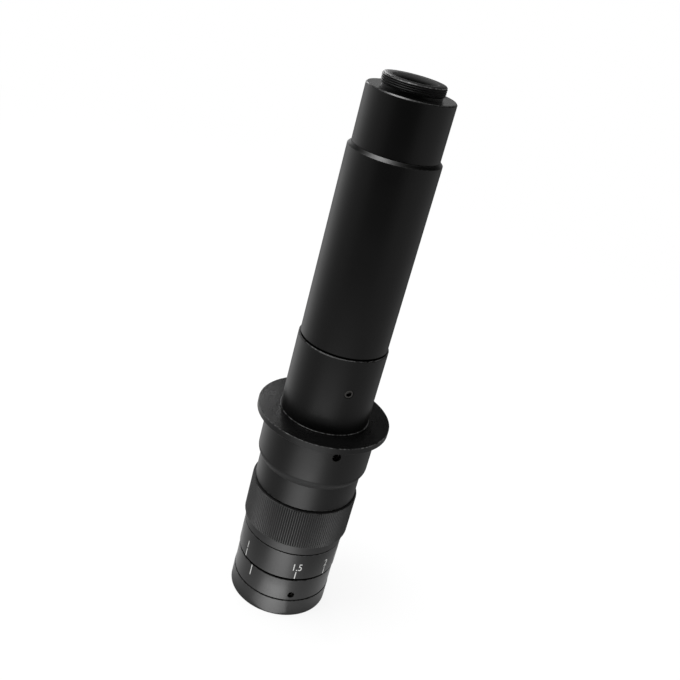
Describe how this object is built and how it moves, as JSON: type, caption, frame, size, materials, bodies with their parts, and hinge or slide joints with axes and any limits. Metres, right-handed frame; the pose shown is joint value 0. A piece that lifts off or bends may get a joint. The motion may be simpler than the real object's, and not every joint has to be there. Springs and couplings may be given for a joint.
{
  "type": "zoom lens with c-mount camera thread",
  "caption": "Black tubular zoom lens: knurled zoom ring with a magnification scale, 50 mm stand seat with flange, long stepped tube and a C-mount thread for a camera.",
  "frame": {"origin": "centre of the front ring's lower face, which the lens stands on", "axes": "+Z along the optical axis from the front of the lens towards the camera; -Y is the side that faces the viewer, with the index mark and the first screw of each ring near it"},
  "size_m": [0.0592, 0.0592, 0.245],
  "materials": {
    "black_anodised": "black anodised, satin, fine turning marks",
    "inner_black": "black anodised, matte",
    "glass": "polished, anti-reflection coated",
    "brass": "turned",
    "screw_steel": "black oxide",
    "washer_plastic": "matte",
    "white_marking": "filled engraving, matte"
  },
  "bodies": {
    "lens_body": {"front_ring": "black_anodised", "index_ring": "black_anodised", "body_housing": "black_anodised", "lower_tube": "black_anodised", "main_tube": "black_anodised", "c_mount_adapter": "black_anodised", "guide_barrel": "inner_black", "front_cell": "inner_black", "front_retainer": "inner_black", "rear_cell": "inner_black", "rear_retainer": "inner_black", "relay_cell": "inner_black", "relay_retainer": "inner_black", "aperture_stop": "inner_black", "glare_stop": "inner_black", "front_lens_lower": "glass", "front_lens_upper": "glass", "rear_lens_lower": "glass", "rear_lens_upper": "glass", "relay_lens_lower": "glass", "relay_lens_upper": "glass", "index_ring_screws": "screw_steel", "body_screws": "screw_steel", "lower_tube_screws": "screw_steel", "lower_slide_washer": "washer_plastic", "upper_slide_washer": "washer_plastic"},
    "zoom_ring": {"zoom_grip_ring": "black_anodised", "scale_ring": "black_anodised", "cam_sleeve": "inner_black", "drive_screws": "screw_steel"},
    "variator": {"variator_cell": "inner_black", "variator_lens_lower": "glass", "variator_lens_upper": "glass", "variator_retainer": "inner_black", "variator_follower": "brass"},
    "compensator": {"compensator_cell": "inner_black", "compensator_lens_lower": "glass", "compensator_lens_upper": "glass", "compensator_retainer": "inner_black", "compensator_follower": "brass"}
  },
  "joints": [
    {"name": "zoom_turn", "type": "hinge", "parent": "lens_body", "child": "zoom_ring", "pos_m": [0, 0, 0.041], "axis": [0, 0, 1], "range_deg": [-169, 87]},
    {"name": "variator_slide", "type": "slide", "parent": "lens_body", "child": "variator", "axis": [0, 0, 1], "range_m": [-0.0087, 0.0169]},
    {"name": "compensator_slide", "type": "slide", "parent": "lens_body", "child": "compensator", "axis": [0, 0, 1], "range_m": [-0.00676, 0.00348]}
  ],
  "couplings": [
    {"joint": "variator_slide", "follows": "zoom_turn", "m_per_rad": -0.0057296},
    {"joint": "compensator_slide", "follows": "zoom_turn", "m_per_rad": 0.0022918}
  ]
}
